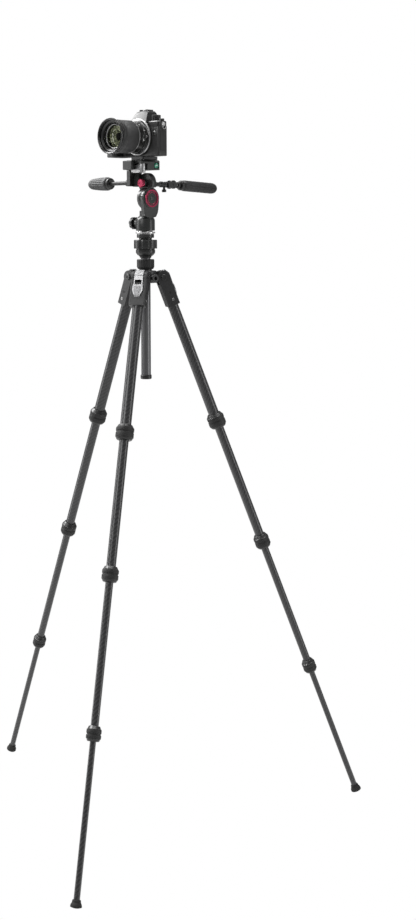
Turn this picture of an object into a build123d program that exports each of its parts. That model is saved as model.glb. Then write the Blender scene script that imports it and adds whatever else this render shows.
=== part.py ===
from build123d import *
import math
import os

# Travel tripod with a levelling centre column, a folding three-way head and a
# mirrorless camera.  Millimetres, +Z up, Z = 0 is the floor under the feet.
# The lens points along -Y, the tilt axis is along X, the roll axis along Y.
# The centre column stands at X = COLUMN_X, Y = 0; the origin is the centre of
# the base rectangle of the whole object.

# ---------------------------------------------------------------- dimensions
COLUMN_X = 112.826           # column axis; centres the bounding box on X = 0

LEG_ANGLE = 20.97           # leg to vertical at the first stop
PIVOT_R = 34.9              # leg pivot circle radius
PIVOT_Z = 1093.0
LEGS = {"front_leg": -60.0, "rear_leg": 60.0, "side_leg": 180.0}

TUBE_R = (11.0, 9.25, 7.5, 5.75)       # outer radii of the four sections
TUBE_RI = (9.7, 7.95, 6.2, 4.45)       # inner radii
LOCK_S = (319.2, 591.8, 877.7)         # lock centres along the leg
LOCK_H = (30.0, 29.0, 27.0)
LOCK_R = (18.0, 16.0, 14.0)
FOOT_R = 10.5
FOOT_DOME_R = 26.0
TUBE_TOP = (38.0, 285.0, 556.0, 842.0) # upper ends of the sections
EAR_R = 13.6                # rounded top of the leg casting
LUG_R = 11.8                # rounded end of the spider lug
CASTING_W = 33.0            # leg casting width
CASTING_S = 61.5            # leg casting lower end
SLOT_W = 18.6               # fork gap
BOLT_R = 3.5

COLUMN_R = 9.9
COLUMN_RI = 8.3
COLUMN_Z0, COLUMN_Z1 = 893.0, 1139.0
BALL_Z = 1160.0             # centre of the levelling ball
BALL_R = 17.0

TILT_Z = 1254.6             # tilt axis height
DRUM_R = 22.3
ROLL_X, ROLL_Z = 2.0, 1286.0
BARREL_R = 21.0
KNUCKLE_Y, KNUCKLE_Z = 73.0, 1284.0
HANDLE_DROP = 3.07          # slope of the tilt handle, degrees
SIDE_Y, SIDE_Z = -16.0, 1286.5

PLATE_Z0, PLATE_Z1 = 1333.2, 1340.0
LENS_Z = 1379.5             # lens axis height
CAM_Z0 = 1340.0
CAM_SPLIT = 1400.0          # camera body to top cover

CLR = 0.06                  # running clearance of pins in their holes

# ------------------------------------------------------------------- helpers
C3 = (Align.CENTER, Align.CENTER, Align.MIN)


def cyl(r, z0, z1, x=0.0, y=0.0):
    return Pos(x, y, z0) * Cylinder(r, z1 - z0, align=C3)


def cone(r0, r1, z0, z1, x=0.0, y=0.0):
    return Pos(x, y, z0) * Cone(r0, r1, z1 - z0, align=C3)


def cylx(r, x0, x1, y=0.0, z=0.0):
    return Pos(x0, y, z) * Rot(0, 90, 0) * Cylinder(r, x1 - x0, align=C3)


def cyly(r, y0, y1, x=0.0, z=0.0):
    return Pos(x, y0, z) * Rot(-90, 0, 0) * Cylinder(r, y1 - y0, align=C3)


def block(x0, x1, y0, y1, z0, z1):
    return Pos((x0 + x1) / 2, (y0 + y1) / 2, (z0 + z1) / 2) * Box(x1 - x0, y1 - y0, z1 - z0)


def rev(points):
    """Turned piece about Z from (radius, height) corners."""
    wire = Polyline(*[(r, 0, z) for r, z in points], close=True)
    return revolve(make_face(wire), Axis.Z)


def along_y(shape, x, z):
    """A piece made about Z, laid along +Y with its height as Y."""
    return Pos(x, 0, z) * Rot(-90, 0, 0) * shape


def along_x(shape, y, z):
    return Pos(0, y, z) * Rot(0, 90, 0) * shape


def slab_xz(points, y0, y1):
    """Prism with an XZ outline, from y0 to y1."""
    face = make_face(Polyline(*[(x, y0, z) for x, z in points], close=True))
    return extrude(face, amount=y1 - y0, dir=(0, 1, 0))


def slab_yz(points, x0, x1):
    face = make_face(Polyline(*[(x0, y, z) for y, z in points], close=True))
    return extrude(face, amount=x1 - x0, dir=(1, 0, 0))


def scallops(r_cut, r_at, n, z0, z1, start=0.0):
    out = None
    for i in range(n):
        a = math.radians(start + 360.0 * i / n)
        c = cyl(r_cut, z0, z1, r_at * math.cos(a), r_at * math.sin(a))
        out = c if out is None else out + c
    return out


parts = {}

# -------------------------------------------------------------------- spider
hub = rev([(0, 1081.5), (20.5, 1081.5), (22.5, 1083.5), (22.5, 1105.1), (21.0, 1106.6),
           (13.0, 1106.6), (13.0, 1124.0), (0, 1124.0)])
for az in LEGS.values():
    lug = block(0, PIVOT_R, -9.0, 9.0, PIVOT_Z - LUG_R + 0.3, PIVOT_Z + LUG_R)
    lug += cyly(LUG_R, -9.0, 9.0, PIVOT_R, PIVOT_Z)
    lug -= cyly(BOLT_R + 0.05, -20, 20, PIVOT_R, PIVOT_Z)
    hub += Rot(0, 0, az) * lug
PORT_R = 4.05               # tapped accessory port, 3/8 inch thread core
PORT_OUT = 30.0
port = cylx(9.0, 12.0, PORT_OUT, 0, 1091.5)
port = chamfer(port.edges().sort_by(Axis.X)[-1], 0.8)
hub += port
hub -= cylx(PORT_R, 16.0, 40.0, 0, 1091.5)
hub -= cyl(COLUMN_R + 0.35, 1070, 1130)
parts["spider"] = hub

bolts = []
for az in LEGS.values():
    b = cyly(BOLT_R, -17.0, 17.0)
    for s in (-1, 1):
        head = cyly(6.2, 16.85, 19.2)
        head = chamfer(head.edges().sort_by(Axis.Y)[-1], 0.6)
        head -= cyly(2.6, 18.0, 20.0)
        b += head if s > 0 else Rot(0, 0, 180) * head
    bolts.append(Rot(0, 0, az) * Pos(PIVOT_R, 0, PIVOT_Z) * b)
parts["leg_pivot_bolts"] = Compound(children=[x if isinstance(x, Solid) else x.solids()[0] for x in bolts])


# ---------------------------------------------------------------------- legs
# Canonical leg: pivot at the origin, leg runs down -Z, +X points outwards.
def leg_place(shape, az):
    a = math.radians(az)
    return (Pos(PIVOT_R * math.cos(a), PIVOT_R * math.sin(a), PIVOT_Z)
            * Rot(0, 0, az) * Rot(0, -LEG_ANGLE, 0) * shape)


hw = CASTING_W / 2
casting = cyly(EAR_R, -hw, hw) + block(-12.4, 12.9, -hw, hw, -CASTING_S, 0)
casting = chamfer(casting.edges().filter_by(Axis.Z).filter_by_position(Axis.Z, -CASTING_S, 0), 2.2)
casting -= block(-20, 20, -SLOT_W / 2, SLOT_W / 2, -12.8, 20)
casting -= cyl(TUBE_R[0], -80, -TUBE_TOP[0])
casting -= cyly(BOLT_R + CLR, -30, 30)
casting -= cylx(2.5 + CLR, 2.0, 20.0, 0, -28.0)

tab_side = [(6.6, 12.6), (9.0, 13.8), (15.3, 3.6), (15.3, 1.6), (14.5, 1.0), (14.5, -1.0), (15.2, -1.6),
            (15.2, -9.0), (14.7, -18.8), (15.8, -21.8), (15.9, -40.0), (14.7, -44.6), (13.3, -44.6),
            (13.3, -7.0), (12.6, -3.0), (12.6, 3.0), (9.6, 8.6)]
tab = slab_xz(tab_side, -9.0, 9.0)
shield = slab_xz([(13.3, -18.8), (14.7, -18.8), (15.8, -21.8), (15.9, -40.0), (14.7, -44.6), (13.3, -44.6)],
                 -10.5, 10.5)
tab += shield
tab -= block(10, 20, -7.2, 7.2, -18.6, -9.0)
for s in (-1, 1):
    cut = make_face(Polyline((10, s * 4.6, -45.4), (10, s * 12, -45.4), (10, s * 12, -31.0), (10, s * 10.4, -32.5),
                             close=True))
    tab -= extrude(cut, amount=10, dir=(1, 0, 0))
tab += cylx(2.5, 4.0, 13.6, 0, -28.0)


def tube(i, s0, s1):
    return cyl(TUBE_R[i], -s1, -s0) - cyl(TUBE_RI[i], -s1 - 1, -s0 + 1)


def lock(i):
    """Twist lock: rubber-faced ring over the end of section i."""
    s, h, r = LOCK_S[i], LOCK_H[i], LOCK_R[i]
    top, bot = -(s - h / 2), -(s + h / 2)
    ru, rl = TUBE_R[i], TUBE_R[i + 1]
    rows = [(ru + 0.35, top), (ru + 2.6, top), (r - 1.2, top - 5.2), (r, top - 7.0), (r, top - 12.6),
            (r - 0.9, top - 13.4), (r - 0.9, top - 15.2), (r, top - 16.0), (r, bot + 5.4),
            (r - 2.6, bot + 1.2), (r - 4.0, bot), (rl + 0.35, bot), (rl + 0.35, -(s + 1.6)),
            (ru + 0.35, -(s + 1.6))]
    return rev(rows)


foot_c = (PIVOT_Z - FOOT_DOME_R) / math.cos(math.radians(LEG_ANGLE))   # dome centre along the leg
foot_edge = foot_c + math.sqrt(FOOT_DOME_R ** 2 - FOOT_R ** 2)
FOOT_TOP = 1154.5
foot = rev([(0, -1140), (TUBE_RI[3] - 0.05, -1140), (TUBE_RI[3] - 0.05, -FOOT_TOP), (7.2, -FOOT_TOP),
            (7.8, -FOOT_TOP - 1.2), (8.2, -FOOT_TOP - 4.4), (9.9, -FOOT_TOP - 7.6), (FOOT_R, -FOOT_TOP - 9.4),
            (FOOT_R, -foot_edge - 6), (0, -foot_edge - 6)])
foot &= Pos(0, 0, -foot_c) * Sphere(FOOT_DOME_R) + cyl(12, -foot_c - 18, -1130)

tubes = [tube(0, TUBE_TOP[0], LOCK_S[0] + 0.8), tube(1, TUBE_TOP[1], LOCK_S[1] + 0.8),
         tube(2, TUBE_TOP[2], LOCK_S[2] + 0.8), tube(3, TUBE_TOP[3], FOOT_TOP)]

for leg, az in LEGS.items():
    parts[f"{leg}_casting"] = leg_place(casting, az)
    parts[f"{leg}_angle_tab"] = leg_place(tab, az)
    for i in range(4):
        parts[f"{leg}_tube_{i + 1}"] = leg_place(tubes[i], az)
    for i in range(3):
        parts[f"{leg}_lock_{i + 1}"] = leg_place(lock(i), az)
    parts[f"{leg}_foot"] = leg_place(foot, az)

# -------------------------------------------------------------- centre column
collar = rev([(COLUMN_R + 0.45, 1124.6), (13.35, 1124.6), (13.35, 1109.9), (15.6, 1109.9), (17.0, 1112.5),
              (17.9, 1114.0), (17.9, 1128.8), (16.7, 1130.0), (COLUMN_R + 0.45, 1130.0)])
collar -= scallops(0.8, 18.2, 20, 1113.0, 1131.0)
parts["column_lock_collar"] = collar

column = cyl(COLUMN_R, COLUMN_Z0, COLUMN_Z1) - cyl(COLUMN_RI, COLUMN_Z0 - 1, COLUMN_Z1 + 1)
column -= block(-1.2, 1.2, -COLUMN_R - 1, -COLUMN_R + 0.6, COLUMN_Z0 - 1, COLUMN_Z1 + 1)
parts["center_column"] = column

HOOK_R = 4.05               # tapped hole for a ballast hook
cap = rev([(HOOK_R, 884.5), (10.2, 884.5), (11.4, 885.8), (11.4, 892.0), (10.8, 893.0), (COLUMN_RI - 0.05, 893.0),
           (COLUMN_RI - 0.05, 903.0), (HOOK_R, 903.0)])
parts["column_end_cap"] = cap

cup = rev([(0, 1132.7), (11.3, 1132.7), (12.3, 1135.6), (16.6, 1139.0), (19.2, 1142.2), (19.9, 1144.4),
           (19.9, 1148.8), (19.0, 1149.7), (19.0, 1160.0), (0, 1160.0)])
cup -= Pos(0, 0, BALL_Z) * Sphere(BALL_R + 0.4)
cup -= cyl(COLUMN_R, 1130.0, COLUMN_Z1)
parts["level_cup"] = cup

ring = cyl(23.8, 1151.9, 1169.8) - scallops(5.0, 26.9, 8, 1150, 1171, 22.5)
ring = chamfer(ring.edges().group_by(Axis.Z)[-1], 0.7)
ring -= cyl(19.35, 1151.0, 1160.8)
ring -= (Pos(0, 0, BALL_Z) * Sphere(BALL_R + 0.45)) & block(-30, 30, -30, 30, 1160.5, 1180)
ring -= cone(15.2, 17.4, 1166.0, 1171.0)
parts["level_ring"] = ring

ball = (Pos(0, 0, BALL_Z) * Sphere(BALL_R)) & block(-30, 30, -30, 30, 1146.0, 1170.7)
ball += rev([(0, 1160), (13.2, 1160), (13.2, 1173.9), (16.9, 1173.9), (17.7, 1174.7), (17.7, 1180.7), (16.9, 1181.5),
             (15.0, 1181.5), (15.0, 1188.0), (8.0, 1188.0), (8.0, 1200.0), (0, 1200.0)])
parts["level_ball"] = ball

parts["pan_scale_ring"] = rev([(15.05, 1181.5), (17.4, 1181.5), (17.4, 1182.8), (19.4, 1182.8), (20.0, 1183.4),
                               (20.0, 1185.8), (19.5, 1186.3), (15.05, 1186.3)])

# ----------------------------------------------------------------------- head
base = rev([(0, 1188.4), (18.6, 1188.4), (19.5, 1189.4), (19.5, 1210.5), (18.2, 1213.6), (12.0, 1219.6), (0, 1222.0)])
arm = slab_yz([(-15.0, 1206.0), (9.6, 1206.0), (10.6, 1211.0), (14.4, 1218.0), (18.6, 1225.0), (20.4, 1232.0),
               (22.2, 1248.0), (22.2, 1260), (-22.2, 1260), (-22.2, 1248), (-20.4, 1232.0), (-18.9, 1222.0),
               (-16.6, 1214.0)], 9.2, 17.5)
arm += cylx(22.4, 9.2, 17.5, 0, TILT_Z)
arm = arm & (cylx(40, 9.2, 17.5, 0, TILT_Z) - cylx(50, 0, 30, 0, 2000))
base += arm
base += block(-2.0, 10.0, -14.5, -6.0, 1214.0, 1229.5)
base += cylx(8.6, -26.6, -12.0, 0, 1204.0)
base -= cyl(8.0 + CLR, 1180, 1200.6)
base += cylx(6.0, -1.0, 9.4, 0, TILT_Z)
base -= cylx(4.0 + CLR, -40.0, -10.5, 0, 1204.0)
parts["pan_body"] = base

knob = Pos(-29.4, 0, 1204.0) * Rot(0, -90, 0) * (
    (cyl(12.6, 0, 8.2) - scallops(3.2, 14.6, 7, -1, 9)) + cyl(6.5, -2.2, 0.1))
knob = chamfer(knob.edges().group_by(Axis.X)[0], 0.8)
knob += cylx(4.0, -29.4, -11.0, 0, 1204.0)
parts["pan_lock_knob"] = knob

tcap = along_x(rev([(0, 17.5), (20.4, 17.5), (20.4, 18.5), (19.0, 19.6), (18.3, 19.6), (18.0, 20.5), (14.9, 20.5),
                    (14.6, 19.2), (11.6, 19.2), (11.3, 19.9), (0, 19.9)]), 0, TILT_Z)
parts["tilt_cap"] = tcap

drum = cylx(DRUM_R, -2.5, 8.8, 0, TILT_Z)
drum = chamfer(drum.edges().group_by(Axis.X)[0], 1.2)
barrel = cyly(BARREL_R, -2.0, 10.3, ROLL_X, ROLL_Z)
barrel = chamfer(barrel.edges().group_by(Axis.Y)[0] + barrel.edges().group_by(Axis.Y)[-1], 1.0)
barrel -= cylx(DRUM_R + 0.6, 8.8, 30, 0, TILT_Z)
barrel -= block(8.8, 30, -30, 30, 1240, 1277.9)
tiltb = drum + barrel
tiltb += block(-2.5, 8.8, -2.0, 10.3, TILT_Z, ROLL_Z)
tiltb += cyly(8.4, 10.0, 19.0, ROLL_X, KNUCKLE_Z)
tiltb -= cylx(6.0 + CLR, -1.3, 12.0, 0, TILT_Z)
tiltb -= cyly(4.5, 13.0, 25.0, ROLL_X, KNUCKLE_Z)
tiltb -= cyly(3.0 + CLR, -12.0, 6.2, ROLL_X, ROLL_Z)
parts["tilt_body"] = tiltb

fk_ = cyly(9.0, -16.0, -10.4, ROLL_X, ROLL_Z)
fk_ = chamfer(fk_.edges().group_by(Axis.Y)[0], 1.4)
fk_ += cyly(3.0, -11.0, 6.0, ROLL_X, ROLL_Z)
fk_ -= block(ROLL_X - 5.5, ROLL_X + 5.5, -18, -14.6, ROLL_Z - 1.1, ROLL_Z + 1.1)
parts["friction_knob"] = fk_

# tilt handle: fixed bar with a fork, folding rod, twist grip
bar = cyly(4.5, 13.0, 64.0, ROLL_X, KNUCKLE_Z) + cyly(6.6, 20.0, 26.0, ROLL_X, KNUCKLE_Z)
bar += cyly(6.2, 41.0, 46.5, ROLL_X, KNUCKLE_Z)
bar += block(ROLL_X - 7.6, ROLL_X + 7.6, 58.0, KNUCKLE_Y, KNUCKLE_Z - 6.0, KNUCKLE_Z + 6.0)
bar += cylx(8.8, ROLL_X - 7.6, ROLL_X + 7.6, KNUCKLE_Y, KNUCKLE_Z)
bar -= block(ROLL_X - 4.3, ROLL_X + 4.3, 64.6, 90.0, KNUCKLE_Z - 9, KNUCKLE_Z + 9)
bar += cylx(2.5, ROLL_X - 8.6, ROLL_X + 8.6, KNUCKLE_Y, KNUCKLE_Z)
bar += cyl(2.6, 1271.0, 1280.0, ROLL_X, 52.0) + cyl(4.6, 1268.0, 1273.5, ROLL_X, 52.0)
parts["tilt_bar"] = bar


def handle_place(shape):
    """Lays a piece turned about Z along the drooping handle; height runs from the knuckle."""
    return Pos(ROLL_X, KNUCKLE_Y, KNUCKLE_Z) * Rot(-90 - HANDLE_DROP, 0, 0) * shape


rod = cyl(4.4, 9.1, 60.0) + cylx(7.2, -4.0, 4.0) + block(-4.0, 4.0, -5.0, 5.0, 0.0, 10.4) + cyl(6.6, 17.0, 22.5)
rod -= cylx(2.5 + CLR, -8, 8)
parts["tilt_rod"] = handle_place(rod)

tgrip = rev([(4.75, 24.0), (8.2, 24.0), (10.4, 25.4), (10.4, 30.6), (9.4, 31.4), (9.4, 32.6), (10.9, 34.0),
             (11.5, 38.0), (11.5, 118.0), (11.0, 123.0), (9.4, 127.6), (6.6, 130.8), (3.2, 132.4), (0, 132.9),
             (0, 60.6), (4.75, 60.6)])
parts["tilt_grip"] = handle_place(tgrip)

# roll frame with the quick-release clamp on top
CL = dict(x0=-26.8, x1=23.2, y0=-30.0, y1=21.0, z0=1312.6, z1=1332.9)
clamp = block(CL["x0"], CL["x1"], CL["y0"], CL["y1"], CL["z0"], CL["z1"])
clamp = fillet(clamp.edges().filter_by(Axis.Z), 4.0)
clamp = chamfer(clamp.faces().sort_by(Axis.Z)[-1].edges(), 1.6)
clamp -= block(-12.0, 30.0, -40.0, -15.2, 1300.0, 1325.6)
clamp -= block(-19.4, 17.4, -20.4, 15.4, 1328.0, 1340.0)
clamp -= block(19.4, 30.0, 3.6, 16.4, 1315.6, 1327.8)
clamp -= block(CL["x0"] - 1, CL["x0"] + 3.0, -22.0, 14.0, 1320.5, 1324.5)
clamp -= slab_xz([(18.4, 1333.4), (24.0, 1333.4), (24.0, 1328.2)], -40.0, 40.0)
frame_wall = block(-27.0, -20.3, -10.0, 10.0, 1279.0, 1313.5)
frame_face = slab_xz([(-27, 1279), (-9, 1279), (-9, 1306), (-27, 1306)], -10.0, -2.6)
ear = block(-32.0, -22.5, -22.0, -9.5, 1279.8, 1313.5)
ear = fillet(ear.edges().filter_by(Axis.X), 2.4)
link = block(-12.0, ROLL_X, -10.0, -2.6, ROLL_Z - 6, ROLL_Z + 6) + cyly(8.0, -10.0, -2.6, ROLL_X, ROLL_Z)
roll = clamp + frame_wall + frame_face + ear + link
roll -= cyly(3.0 + CLR, -20, 5, ROLL_X, ROLL_Z)
roll -= cylx(4.02, -40.0, -24.0, SIDE_Y, SIDE_Z)
parts["plate_clamp"] = roll

LV_X, LV_Y = 15.0, -22.6
lever = cyl(6.6, 1306.8, 1325.1, LV_X, LV_Y)
lever += slab_xz([(LV_X, 1324.8), (2.0, 1321.6), (-3.5, 1318.6), (-10.6, 1311.4), (-10.6, 1309.4), (-2.0, 1306.8),
                  (LV_X, 1306.8)], -29.6, -25.4)
lever -= cyl(2.5 + CLR, 1318.0, 1330.0, LV_X, LV_Y)
pad = block(-26.4, 2.4, -39.6, -30.5, 1313.2, 1331.8)
pad = fillet(pad.edges().filter_by(Axis.Z), 2.6)
pad = chamfer(pad.faces().sort_by(Axis.Z)[-1].edges() + pad.faces().sort_by(Axis.Z)[0].edges(), 1.0)
lever += pad + block(-9.6, -1.0, -31.6, -26.0, 1313.6, 1317.4)
parts["clamp_lever"] = lever
# lever pin stands on the clamp body
parts["plate_clamp"] = parts["plate_clamp"] + cyl(2.5, 1318.4, 1326.2, LV_X, LV_Y)

parts["side_bar"] = cylx(4.0, -94.0, -24.2, SIDE_Y, SIDE_Z) + cylx(6.2, -37.5, -32.0, SIDE_Y, SIDE_Z)
sgrip = rev([(4.35, 86.0), (9.6, 86.0), (12.0, 87.4), (12.0, 90.6), (11.2, 91.4), (11.2, 92.4), (13.2, 93.8),
             (14.2, 97.0), (14.2, 103.0), (13.9, 112.0), (13.2, 124.0), (12.0, 137.0), (10.9, 144.0), (9.0, 148.4),
             (6.2, 151.2), (3.0, 152.6), (0, 153.0), (0, 94.6), (4.35, 94.6)])
parts["side_grip"] = Pos(0, SIDE_Y, SIDE_Z) * Rot(0, -90, 0) * sgrip

plate = block(-20.0, 18.0, -21.5, 19.5, PLATE_Z0, PLATE_Z1)
plate = fillet(plate.edges().filter_by(Axis.Z), 3.0)
plate = chamfer(plate.faces().sort_by(Axis.Z)[0].edges(), 1.0)
plate += block(-19.0, 17.0, -20.0, 15.0, 1328.4, PLATE_Z0 + 1)
plate -= cyl(3.3, 1320, 1345) + cyl(8.2, 1320, 1335.6)
screw = cyl(3.0, 1334.0, 1346.5) + cyl(7.6, 1331.2, 1335.2)
screw -= block(-6, 6, -0.8, 0.8, 1330, 1333)
parts["quick_plate"] = Compound(children=[plate.solids()[0], screw.solids()[0]])

# --------------------------------------------------------------------- camera


def plan(off):
    """Plan outline of the camera with its hand grip, drawn in by off."""
    pts = [(-74 + off, 9.5 - off), (57 - off, 9.5 - off), (57 - off, -16.5 + off), (-45 - off, -16.5 + off),
           (-45 - off, -43 + off), (-74 + off, -43 + off)]
    wire = FilletPolyline(*[(x, y, 0) for x, y in pts], radius=[5.0, 5.0, 4.5, 5.5, 8.5, 9.5], close=True)
    return make_face(wire)


outline = plan(0.0)
body = extrude(Pos(0, 0, CAM_Z0) * outline, amount=CAM_SPLIT - CAM_Z0)
body = chamfer(body.faces().sort_by(Axis.Z)[0].edges(), 1.2)
body += cyly(36.6, -19.0, -10.0, 0, LENS_Z) & block(-50, 50, -30, 20, CAM_Z0 + 1.0, CAM_SPLIT)
body += block(-30.0, 40.0, 9.0, 13.0, 1344.0, 1392.0)
body -= cyly(27.0, -25.0, -4.0, 0, LENS_Z)
body -= cyl(3.05, CAM_Z0 - 1, CAM_Z0 + 8.0)
parts["camera_body"] = body

top2d = plan(0.5)
topc = extrude(Pos(0, 0, CAM_SPLIT) * top2d, amount=11.0)
topc = chamfer(topc.faces().sort_by(Axis.Z)[-1].edges(), 1.6)
collar_top = (cyly(36.6, -19.0, -8.0, 0, LENS_Z) & block(-50, 50, -30, 20, CAM_SPLIT, 1420))
topc += collar_top
hump_pts = [(-24.0, 1409.0), (24.0, 1409.0), (21.5, 1416.0), (17.5, 1430.0), (14.0, 1433.4), (-14.0, 1433.4),
            (-17.5, 1430.0), (-21.5, 1416.0)]
hump = slab_xz(hump_pts, -9.4, 17.0)
slope = slab_yz([(-10.4, 1400.0), (-9.8, 1414.0), (-7.8, 1428.0), (-4.6, 1433.5), (-4.6, 1440), (14.5, 1440.0),
                 (14.5, 1433.0), (17.0, 1426.0), (17.0, 1405.0), (9.0, 1400.0)], -30, 30)
hump = hump & slope
topc += hump
topc -= cyly(27.0, -25.0, -4.0, 0, LENS_Z)
shoe = block(-10.6, 10.6, -5.0, 13.4, 1433.0, 1436.6)
shoe -= block(-9.3, 9.3, -6.0, 12.0, 1433.9, 1435.7)
shoe -= block(-6.4, 6.4, -6.0, 12.0, 1435.0, 1437.0)
topc += shoe
topc += cyl(5.6, 1410.5, 1414.6, 51.0, -2.0)
MODE_X, MODE_Y = 35.0, -2.0
topc += cyl(10.6, 1410.5, 1412.6, MODE_X, MODE_Y)
topc -= cyl(2.5 + CLR, 1405.0, 1420.0, MODE_X, MODE_Y)
BTN_X, BTN_Y = -60.0, -24.0
topc += cyl(8.6, 1410.0, 1413.2, BTN_X, BTN_Y)
topc -= cyl(5.6, 1407.5, 1415.0, BTN_X, BTN_Y)
parts["top_cover"] = topc

mdial = cyl(9.6, 1413.0, 1423.6, MODE_X, MODE_Y)
mdial -= Pos(MODE_X, MODE_Y, 0) * scallops(0.55, 9.75, 30, 1414.0, 1424)
mdial = chamfer(mdial.faces().sort_by(Axis.Z)[-1].edges(), 0.45)
mdial += cyl(2.5, 1405.6, 1413.4, MODE_X, MODE_Y)
parts["mode_dial"] = mdial

button = cyl(5.2, 1410.0, 1414.4, BTN_X, BTN_Y)
button = chamfer(button.faces().sort_by(Axis.Z)[-1].edges(), 0.9)
parts["shutter_button"] = button

# lens, turned about its axis; heights below are -Y distances
def lens_place(shape):
    return Pos(0, 0, LENS_Z) * Rot(90, 0, 0) * shape


FILTER_R = 33.5             # filter thread bore, 67 mm
barrel_l = rev([(20.0, 8.0), (26.6, 8.0), (26.6, 19.2), (35.6, 19.2), (35.6, 22.4), (33.0, 23.6), (32.4, 30.0),
                (32.4, 42.0), (33.2, 43.0), (33.2, 46.4), (29.0, 46.4), (29.0, 90.6), (33.6, 90.6), (35.4, 92.6),
                (36.6, 95.0), (36.6, 98.4), (FILTER_R + 1.2, 98.6), (FILTER_R, 97.6), (FILTER_R, 93.2),
                (30.2, 93.2), (27.8, 91.4), (25.6, 83.6), (24.8, 83.4), (24.8, 74.0), (20.0, 74.0)])
parts["lens_barrel"] = lens_place(barrel_l)

zoom = rev([(29.4, 47.0), (32.9, 47.0), (33.5, 47.8), (33.5, 77.2), (32.9, 78.0), (29.4, 78.0)])
parts["zoom_ring"] = lens_place(zoom)
focus = rev([(29.4, 78.6), (33.4, 78.6), (34.0, 79.4), (34.0, 81.4), (33.3, 81.9), (33.3, 83.1), (34.0, 83.6),
             (34.0, 85.6), (33.3, 86.1), (33.3, 87.3), (34.0, 87.8), (34.0, 89.4), (33.4, 90.1), (29.4, 90.1)])
parts["focus_ring"] = lens_place(focus)

glass = rev([(0, 76.0), (24.7, 76.0), (24.7, 81.6), (23.4, 82.2), (0, 82.2)])
dome_c = 82.0 - 60.0
glass = rev([(0, 76.0), (24.7, 76.0), (24.7, 79.0), (24.2, 79.4), (24.2, 90), (0, 90)]) & (
    Pos(0, 0, dome_c + 2.9) * Sphere(60.0) + cyl(40, 70, 76.5))
parts["front_glass"] = lens_place(glass)

# --------------------------------------------------------------------- output
os.makedirs("parts", exist_ok=True)
box_all = None
for name, shape in parts.items():
    moved = Pos(COLUMN_X, 0, 0) * shape
    export_step(moved, f"parts/{name}.step")
    bb = moved.bounding_box()
    lo, hi = bb.min, bb.max
    if box_all is None:
        box_all = [lo.X, lo.Y, lo.Z, hi.X, hi.Y, hi.Z]
    else:
        box_all = [min(box_all[0], lo.X), min(box_all[1], lo.Y), min(box_all[2], lo.Z),
                   max(box_all[3], hi.X), max(box_all[4], hi.Y), max(box_all[5], hi.Z)]
print("nodes", len(parts))
print("box", [round(v, 2) for v in box_all], "centre x", round((box_all[0] + box_all[3]) / 2, 3),
      "y", round((box_all[1] + box_all[4]) / 2, 3))
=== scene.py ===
import bpy
import bmesh
import math
from mathutils import Matrix, Vector


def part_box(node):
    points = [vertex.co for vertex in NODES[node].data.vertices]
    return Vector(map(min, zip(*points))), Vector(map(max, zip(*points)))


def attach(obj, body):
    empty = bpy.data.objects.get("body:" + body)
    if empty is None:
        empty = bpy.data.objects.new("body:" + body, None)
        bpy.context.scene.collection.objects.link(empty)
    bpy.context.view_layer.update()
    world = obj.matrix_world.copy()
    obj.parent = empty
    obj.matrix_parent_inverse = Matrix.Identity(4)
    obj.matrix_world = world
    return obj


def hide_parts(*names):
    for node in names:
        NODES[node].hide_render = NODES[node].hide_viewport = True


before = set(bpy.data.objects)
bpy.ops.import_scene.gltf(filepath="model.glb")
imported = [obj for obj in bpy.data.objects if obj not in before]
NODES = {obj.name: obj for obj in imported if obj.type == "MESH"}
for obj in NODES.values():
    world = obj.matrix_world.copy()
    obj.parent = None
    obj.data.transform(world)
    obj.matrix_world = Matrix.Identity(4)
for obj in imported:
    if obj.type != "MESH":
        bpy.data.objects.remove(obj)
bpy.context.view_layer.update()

MM = 0.001
clo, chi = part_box("center_column")
CX = (clo.x + chi.x) / 2 / MM            # column axis in mm
LENS_Z = 1379.5
TILT_Z = 1254.6
ROLL = (2.0, 1286.0)
KNUCKLE = (2.0, 73.0, 1284.0)
DROP = math.radians(3.07)
LEG_A = math.radians(20.97)
PIVOT_R, PIVOT_Z = 34.9, 1093.0
LEGS = {"front_leg": -60.0, "rear_leg": 60.0, "side_leg": 180.0}


# ------------------------------------------------------------------ camera
sc = bpy.context.scene
cam_data = bpy.data.cameras.new("cam")
cam = bpy.data.objects.new("cam", cam_data)
sc.collection.objects.link(cam)
sc.camera = cam
cam_data.sensor_width = 36.0
cam_data.lens = 1450.5 * 36.0 / 920.0
cam_data.shift_x = (208.0 - 99.0) / 920.0
cam_data.shift_y = -(460.0 - 222.0) / 920.0
cam_data.clip_end = 50.0
cam.location = ((2157.2 + CX) * MM, -2053.7 * MM, 1206.8 * MM)
yaw = math.radians(138.24 - 90.0)
cam.rotation_euler = (Matrix.Rotation(yaw, 4, "Z") @ Matrix.Rotation(math.pi / 2, 4, "X")
                      @ Matrix.Rotation(math.radians(-0.28), 4, "Z")).to_euler()


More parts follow.
